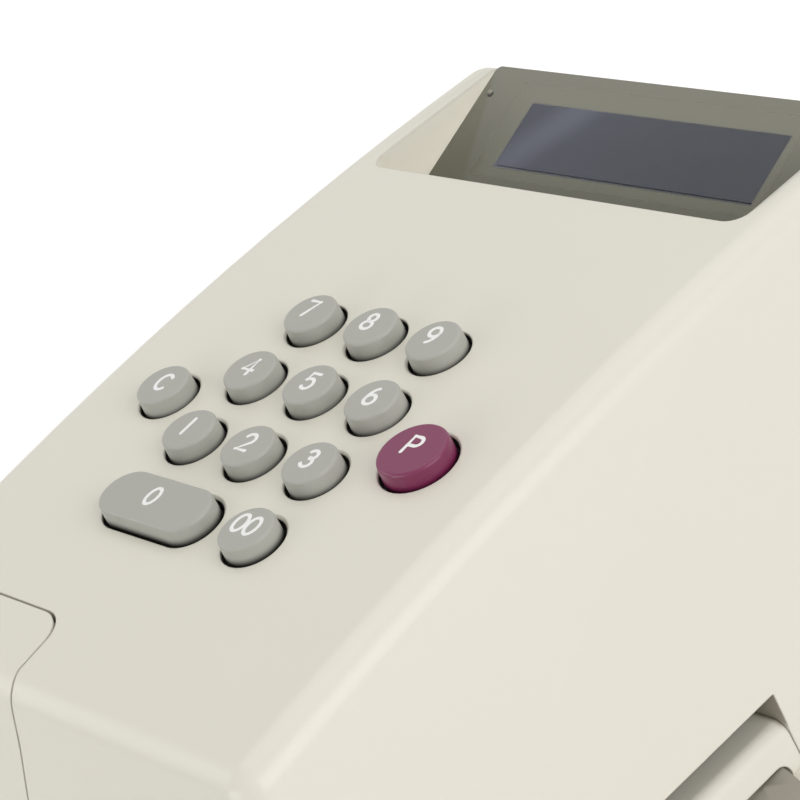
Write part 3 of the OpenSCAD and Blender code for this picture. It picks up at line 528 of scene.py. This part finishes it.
def shell_of(node, name, body):
    """A copy of a solid, its triangles merged, smooth on its roundings and sharp at its edges."""
    bm = bmesh.new()
    bm.from_mesh(frame["nodes"][node].data)
    bmesh.ops.remove_doubles(bm, verts=bm.verts, dist=MERGE * MM)
    bmesh.ops.dissolve_limit(bm, angle_limit=FLAT, verts=bm.verts, edges=bm.edges)
    for edge in bm.edges:
        edge.smooth = len(edge.link_faces) == 2 and edge.calc_face_angle() < SHARP
    for face in bm.faces:
        face.smooth = True
    obj = object_from(bm, name, FINISHES[SLOT_OF[node]])
    weigh = obj.modifiers.new("weigh", "WEIGHTED_NORMAL")
    weigh.keep_sharp = True
    weigh.weight = NORMAL_WEIGHT
    mesh = made_from(obj)
    obj.modifiers.clear()
    obj.data = mesh
    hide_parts(node)
    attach(obj, body)
    return obj


# How finely the core follows the panel's arc, how high its corners meet the foot's rounding, and
# by which share of their length they run on past it.
RAIL_STEPS = 120
CORNER_Z = FOOT_Z + 1.0
CORNER_RUN = 0.06
# A corner is on a rounding if it is about as far from the core, and its normal points away from it.
ROUNDING_SLACK = 0.25
SAME_WAY = 0.93


def panel_at(y):
    """Height and slope of the panel's arc at a distance from the front."""
    height = ARC_Z + math.sqrt(PANEL_R ** 2 - (y - ARC_Y) ** 2)
    return height, math.asin((ARC_Y - y) / PANEL_R)


def casing_core():
    """The centres of the casing's edge rounding, closed into one solid."""
    flare = math.atan((FOOT_HALF - PANEL_HALF) / (KEY5.z - FOOT_Z))
    rail_x = PANEL_HALF - EDGE_R * math.tan((math.pi / 2 - flare) / 2)
    front = PANEL_FRONT + EDGE_R * math.tan(FRONT_TURN / 2)
    back = PANEL_BACK - EDGE_R * math.tan(BACK_TURN / 2)
    rail = []
    for i in range(RAIL_STEPS + 1):
        y = front + (back - front) * i / RAIL_STEPS
        z, slope = panel_at(y)
        y, z = y + EDGE_R * math.sin(slope), z - EDGE_R * math.cos(slope)
        rail.append(Vector((rail_x, y, z)))
    foot_x, foot_y = FOOT_HALF - EDGE_R, FOOT_LEN - EDGE_R
    for end, y in ((rail[0], -foot_y), (rail[-1], foot_y)):
        corner = Vector((foot_x, y, CORNER_Z))
        rail.append(corner + (corner - end) * CORNER_RUN)
    bm = bmesh.new()
    for point in rail:
        for side in (-1, 1):
            bm.verts.new((side * point.x * MM, point.y * MM, point.z * MM))
    bmesh.ops.convex_hull(bm, input=bm.verts)
    tree = BVHTree.FromBMesh(bm)
    bm.free()
    return tree


def true_roundings(obj, core):
    """Normals on the casing's roundings point straight away from its core, so light runs evenly."""
    mesh = obj.data
    normals = [corner.vector.copy() for corner in mesh.corner_normals]
    for loop in mesh.loops:
        place = mesh.vertices[loop.vertex_index].co
        away = place - core.find_nearest(place)[0]
        if abs(away.length - EDGE_R * MM) > ROUNDING_SLACK * MM:
            continue
        away.normalize()
        if away.dot(normals[loop.index]) > SAME_WAY:
            normals[loop.index] = away
    mesh.normals_split_custom_set(normals)


# The screen's glass reaches this far under the pane, and its frame lies lower.
GLASS_REACH = 0.5
# The pane's back, which is below this share of its thickness, is lifted off its ledge.
PANE_BACK, PANE_LIFT = 0.9, 0.06


def screen_and_window():
    """The dark screen in its pale frame, and the pane over it."""
    screen = shell_of("lcd_module", "lcd_in_bezel", "machine")
    screen.data.materials.append(BEZEL)
    for polygon in screen.data.polygons:
        high = (WINDOW_TURN @ polygon.center).z > (-WINDOW_T - GLASS_REACH) * MM
        polygon.material_index = 0 if high else 1
    pane = shell_of("display_window", "display_pane", "machine")
    for vertex in pane.data.vertices:
        if (WINDOW_TURN @ vertex.co).z < -PANE_BACK * WINDOW_T * MM:
            vertex.co += WINDOW_NORMAL * PANE_LIFT * MM


# The stake is a squashed ball, and the dark flat disc under it, a little lower and off its middle,
# is its painted shadow.
STAKE_AT, STAKE_R, STAKE_SQUASH = Vector((-52.6, -6.6, 0.0)), 0.7, 0.8
SHADOW_DISC_AT, SHADOW_DISC_R, SHADOW_DISC_TOP_R, SHADOW_DISC_T = Vector((-52.1, -7.1, 0.0)), 0.85, 0.8, 0.12
STAKE_SEGMENTS, STAKE_RINGS = 24, 14


def ball(bm, radius, place):
    """A ball whose faces keep one order, which those of Blender's own ball don't."""
    top, bottom = (bm.verts.new(place @ Vector((0.0, 0.0, z))) for z in (radius, -radius))
    rings = []
    for ring in range(1, STAKE_RINGS):
        tilt = math.pi * ring / STAKE_RINGS
        corners = []
        for segment in range(STAKE_SEGMENTS):
            turn = 2 * math.pi * segment / STAKE_SEGMENTS
            out = Vector((math.cos(turn), math.sin(turn), 0.0)) * math.sin(tilt)
            corners.append(bm.verts.new(place @ ((out + UP * math.cos(tilt)) * radius)))
        rings.append(corners)
    for left in range(STAKE_SEGMENTS):
        right = (left + 1) % STAKE_SEGMENTS
        bm.faces.new((top, rings[0][left], rings[0][right]))
        for upper, lower in zip(rings, rings[1:]):
            bm.faces.new((upper[left], lower[left], lower[right], upper[right]))
        bm.faces.new((rings[-1][left], bottom, rings[-1][right]))


def window_stake():
    """The small pale head that holds the window at its left, over a dark disc that is its painted
    shadow.
    """
    bm = bmesh.new()
    spot = WINDOW_AT @ Matrix.Translation(STAKE_AT * MM) @ Matrix.Diagonal((1, 1, STAKE_SQUASH, 1))
    ball(bm, STAKE_R * MM, spot)
    crown = len(bm.faces)
    spot = WINDOW_AT @ Matrix.Translation(SHADOW_DISC_AT * MM)
    bmesh.ops.create_cone(
        bm, cap_ends=True, segments=STAKE_SEGMENTS, radius1=SHADOW_DISC_R * MM,
        radius2=SHADOW_DISC_TOP_R * MM, depth=SHADOW_DISC_T * MM, matrix=spot)
    bm.faces.ensure_lookup_table()
    for index, face in enumerate(bm.faces):
        face.smooth = index < crown
        face.material_index = 0 if index < crown else 1
    obj = object_from(bm, "window_stake", LEVER_GREY)
    obj.data.materials.append(DARK)
    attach(obj, "machine")


# ---- Legends ----

# Each sign's key, and its column and row as counted from the 5 key.
KEY_RIDES = {
    "5": ("key_5", 0, 0), "4": ("key_4", -1, 0), "6": ("key_6", 1, 0),
    "7": ("key_7", -1, 1), "8": ("key_8", 0, 1), "9": ("key_9", 1, 1),
    "1": ("key_1", -1, -1), "2": ("key_2", 0, -1), "3": ("key_3", 1, -1),
    "00": ("key_00", 1, -2), "C": ("key_clear", -2, -0.5), "0": ("key_0", -9.7 / PITCH, -2),
    "P": ("key_print", 2.093, -0.5),
}
KEY_TOP, PRINT_KEY_TOP = 3.5, 3.4
LEGEND_HEIGHT = 4.65
LEGEND_HALF_WIDTH = 0.44
LEGEND_FLATNESS = 0.12
STROKE_SIDES, DOT_ROUNDS = 10, 2
# The printing doesn't sit in the middle of the keys.
LEGEND_SHIFT = {
    "7": (-0.95, 1.1), "8": (-0.95, 1.1), "9": (-0.95, 1.1),
    "4": (-0.25, 0.7), "5": (-0.25, 0.7), "6": (-0.25, 0.7),
    "1": (-0.55, 0.65), "2": (-0.55, 0.7), "3": (-0.55, 0.8),
    "00": (-0.55, 0.9), "P": (-0.55, 1.0), "C": (0.1, 0.5), "0": (-1.2, 0.77),
}


def arc(cx, cy, rx, ry, start, end, steps=20):
    """Points of an ellipse between two angles in degrees."""
    points = []
    for i in range(steps + 1):
        angle = math.radians(start + (end - start) * i / steps)
        points.append((cx + rx * math.cos(angle), cy + ry * math.sin(angle)))
    return points


def glyph(sign):
    """The strokes of a plain rounded sign, one unit high and centred."""
    ring = arc(0, 0, 0.31, 0.5, 90, 450, 32)
    strokes = {
        "0": [ring],
        "00": [[(x - 0.38, y) for x, y in ring], [(x + 0.38, y) for x, y in ring]],
        "1": [[(0, -0.5), (0, 0.5)]],
        "2": [arc(0, 0.2, 0.29, 0.3, 160, -35) + [(-0.3, -0.5), (0.32, -0.5)]],
        "3": [arc(0, 0.25, 0.25, 0.25, 150, -90, 16), arc(0, -0.22, 0.29, 0.28, 95, -150, 20)],
        "4": [[(0.14, -0.5), (0.14, 0.5), (-0.33, -0.2), (0.33, -0.2)]],
        "5": [[(0.26, 0.5), (-0.2, 0.5), (-0.26, 0.06)] + arc(-0.01, -0.17, 0.3, 0.33, 132, -140)],
        "6": [arc(0, -0.2, 0.29, 0.3, 90, 450, 28), arc(0.1, -0.2, 0.39, 0.7, 180, 100, 14)],
        "7": [[(-0.29, 0.5), (0.29, 0.5), (-0.1, -0.5)]],
        "8": [arc(0, 0.26, 0.23, 0.24, 90, 450, 24), arc(0, -0.24, 0.29, 0.26, 90, 450, 28)],
        "9": [arc(0, 0.2, 0.29, 0.3, 90, 450, 28), arc(-0.1, 0.2, 0.39, 0.7, 0, -80, 14)],
        "C": [arc(0, 0, 0.36, 0.5, 45, 315, 24)],
        "P": [[(-0.28, -0.5), (-0.28, 0.5)] + arc(0.08, 0.23, 0.25, 0.27, 90, -90, 14)
              + [(-0.28, -0.04)]],
    }
    return strokes[sign]


def stroke_tree():
    """Geometry nodes: each path becomes a low rounded stroke with round ends."""
    tree = bpy.data.node_groups.new("printed_stroke", "GeometryNodeTree")
    socket = tree.interface.new_socket
    socket("Geometry", in_out="INPUT", socket_type="NodeSocketGeometry")
    radius = socket("Half width", in_out="INPUT", socket_type="NodeSocketFloat")
    flat = socket("Flatness", in_out="INPUT", socket_type="NodeSocketFloat")
    ink = socket("Ink", in_out="INPUT", socket_type="NodeSocketMaterial")
    socket("Geometry", in_out="OUTPUT", socket_type="NodeSocketGeometry")
    new, link = tree.nodes.new, tree.links.new
    entry, out = new("NodeGroupInput").outputs, new("NodeGroupOutput").inputs
    profile = new("GeometryNodeCurvePrimitiveCircle")
    profile.inputs["Resolution"].default_value = STROKE_SIDES
    sweep = new("GeometryNodeCurveToMesh")
    points = new("GeometryNodeCurveToPoints")
    points.mode = "EVALUATED"
    dot = new("GeometryNodeMeshIcoSphere")
    dot.inputs["Subdivisions"].default_value = DOT_ROUNDS
    caps = new("GeometryNodeInstanceOnPoints")
    join = new("GeometryNodeJoinGeometry")
    size = new("ShaderNodeCombineXYZ")
    size.inputs["X"].default_value = 1.0
    size.inputs["Y"].default_value = 1.0
    squash = new("GeometryNodeTransform")
    real = new("GeometryNodeRealizeInstances")
    paint = new("GeometryNodeSetMaterial")
    # the stroke is swept along the path, and a dot on each point rounds its ends and corners
    link(entry["Geometry"], sweep.inputs["Curve"])
    link(entry["Half width"], profile.inputs["Radius"])
    link(profile.outputs["Curve"], sweep.inputs["Profile Curve"])
    link(entry["Geometry"], points.inputs["Curve"])
    link(points.outputs["Points"], caps.inputs["Points"])
    link(dot.outputs["Mesh"], caps.inputs["Instance"])
    link(entry["Half width"], dot.inputs["Radius"])
    link(sweep.outputs["Mesh"], join.inputs["Geometry"])
    link(caps.outputs["Instances"], join.inputs["Geometry"])
    link(join.outputs["Geometry"], real.inputs["Geometry"])
    # both are flattened into a low print
    link(entry["Flatness"], size.inputs["Z"])
    link(real.outputs["Geometry"], squash.inputs["Geometry"])
    link(size.outputs["Vector"], squash.inputs["Scale"])
    link(squash.outputs["Geometry"], paint.inputs["Geometry"])
    link(entry["Ink"], paint.inputs["Material"])
    link(paint.outputs["Geometry"], out["Geometry"])
    return tree, radius.identifier, flat.identifier, ink.identifier


def panel_frame(column, row, height):
    """Where a point of the keypad stands: on the tangent plane at the 5 key."""
    turn = Matrix.Rotation(PANEL_TILT, 4, "X")
    shift = Matrix.Translation(Vector((column, row, height)) * MM)
    return Matrix.Translation(KEY5 * MM) @ turn @ shift


def legends():
    tree, radius, flat, ink = stroke_tree()
    for sign, (node, column, row) in KEY_RIDES.items():
        name = "legend_" + node
        curve = bpy.data.curves.new(name, "CURVE")
        curve.dimensions = "3D"
        for stroke in glyph(sign):
            spline = curve.splines.new("POLY")
            spline.points.add(len(stroke) - 1)
            for point, (x, y) in zip(spline.points, stroke):
                point.co = (x * LEGEND_HEIGHT * MM, y * LEGEND_HEIGHT * MM, 0.0, 1.0)
        path = linked(curve, name)
        modifier = path.modifiers.new("strokes", "NODES")
        modifier.node_group = tree
        modifier[radius] = LEGEND_HALF_WIDTH * MM
        modifier[flat] = LEGEND_FLATNESS
        modifier[ink] = LEGEND_WHITE
        mesh = made_from(path)
        bpy.data.objects.remove(path)
        top = PRINT_KEY_TOP if sign == "P" else KEY_TOP
        y = row * PITCH
        across, up = LEGEND_SHIFT[sign]
        # the panel's arc falls away from its tangent plane
        drop = y * y / (2 * PANEL_R)
        mesh.transform(panel_frame(column * PITCH + across, y + up, top - drop))
        for polygon in mesh.polygons:
            polygon.use_smooth = True
        piece = linked(mesh, name)
        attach(piece, node)


# ---- Stage, in metres ----

WHITE = (1.0, 1.0, 1.0)
# What the camera sees, straight or by way of gloss or glass.
SEEN = "Camera", "Glossy", "Transmission"
FLOOR_HALF = 3.0
FLOOR_TONE, FLOOR_SEEN_TONE = (0.82, 0.82, 0.81), (0.97, 0.97, 0.965)
FLOOR_GLOW = 0.25
SKY_TONE, SKY = (1.0, 0.985, 0.96), 0.39

# Each lamp's place, its width and height, and its watts; all of them face one point.
LAMPS = {
    "side_softbox": ((1.3, 0.1, 0.7), (1.2, 1.0), 9.95),
    "top_softbox": ((-0.1, 0.5, 1.4), (1.4, 1.2), 6.55),
    "left_window": ((-1.3, -0.8, 0.75), (0.9, 0.9), 3.65),
    "low_front": ((-0.3, -1.6, 0.3), (1.2, 0.5), 5.95),
}
LAMP_TARGET = Vector((0.0, 0.0, 0.09))

# The camera was solved from the key centres.
CAMERA_AT = Vector((0.44080, -0.29781, 0.38889))
CAMERA_RIGHT = Vector((0.66741, 0.67359, -0.31757))
CAMERA_UP = Vector((-0.16293, 0.54819, 0.82033))
CAMERA_LENS, CAMERA_SENSOR = 131.72, 36.0
CAMERA_NEAR = 0.01


def floor():
    bm = bmesh.new()
    bmesh.ops.create_grid(bm, x_segments=1, y_segments=1, size=FLOOR_HALF)
    r = Recipe("pale_floor", FLOOR_TONE, roughness=0.8)
    seen = any_ray(r.nodes, r.links, *SEEN)
    r.blend(seen, FLOOR_TONE, FLOOR_SEEN_TONE)
    r.feed(r.shader["Emission Color"], WHITE)
    r.feed(r.shader["Emission Strength"], r.both(seen, FLOOR_GLOW))
    object_from(bm, "floor", r.material)


def world():
    """White where it is seen, and a softer warm sky as a light."""
    sky = bpy.data.worlds.new("studio")
    SCENE.world = sky
    sky.use_nodes = True
    nodes, links = sky.node_tree.nodes, sky.node_tree.links
    backgrounds = nodes["Background"], nodes.new("ShaderNodeBackground")
    for background, tone, strength in zip(backgrounds, (SKY_TONE, WHITE), (SKY, 1.0)):
        background.inputs["Color"].default_value = (*tone, 1.0)
        background.inputs["Strength"].default_value = strength
    mix = nodes.new("ShaderNodeMixShader")
    factor, *shaders = mix.inputs
    links.new(any_ray(nodes, links, *SEEN), factor)
    for background, shader in zip(backgrounds, shaders):
        links.new(background.outputs[0], shader)
    links.new(mix.outputs[0], nodes["World Output"].inputs["Surface"])


def lights():
    for name, (place, size, watts) in LAMPS.items():
        data = bpy.data.lights.new(name, "AREA")
        data.shape = "RECTANGLE"
        data.size, data.size_y = size
        data.energy = watts
        lamp = linked(data, name)
        lamp.location = place
        aim = LAMP_TARGET - Vector(place)
        lamp.rotation_euler = aim.to_track_quat("-Z", "Y").to_euler()


def camera():
    data = bpy.data.cameras.new("camera")
    data.sensor_width = CAMERA_SENSOR
    data.lens = CAMERA_LENS
    data.clip_start = CAMERA_NEAR
    obj = linked(data, "camera")
    right, up = CAMERA_RIGHT.normalized(), CAMERA_UP.normalized()
    turn = Matrix((right, up, right.cross(up))).transposed().to_4x4()
    obj.matrix_world = Matrix.Translation(CAMERA_AT) @ turn
    SCENE.camera = obj


# ---- The whole ----

finish_nodes()
core = casing_core()
true_roundings(shell_of("upper_case", "upper_case_shell", "machine"), core)
true_roundings(shell_of("ink_cover", "ink_cover_shell", "ink_cover"), core)
for still in ("base", "paper_table", "feet"):
    shell_of(still, still + "_shell", "machine")
shell_of("release_lever", "release_lever_shell", "release_lever")
for moving, _, _ in KEY_RIDES.values():
    shell_of(moving, moving + "_cap", moving)
screen_and_window()
window_stake()
legends()
floor()
world()
lights()
camera()
SCENE.view_settings.view_transform = "Standard"
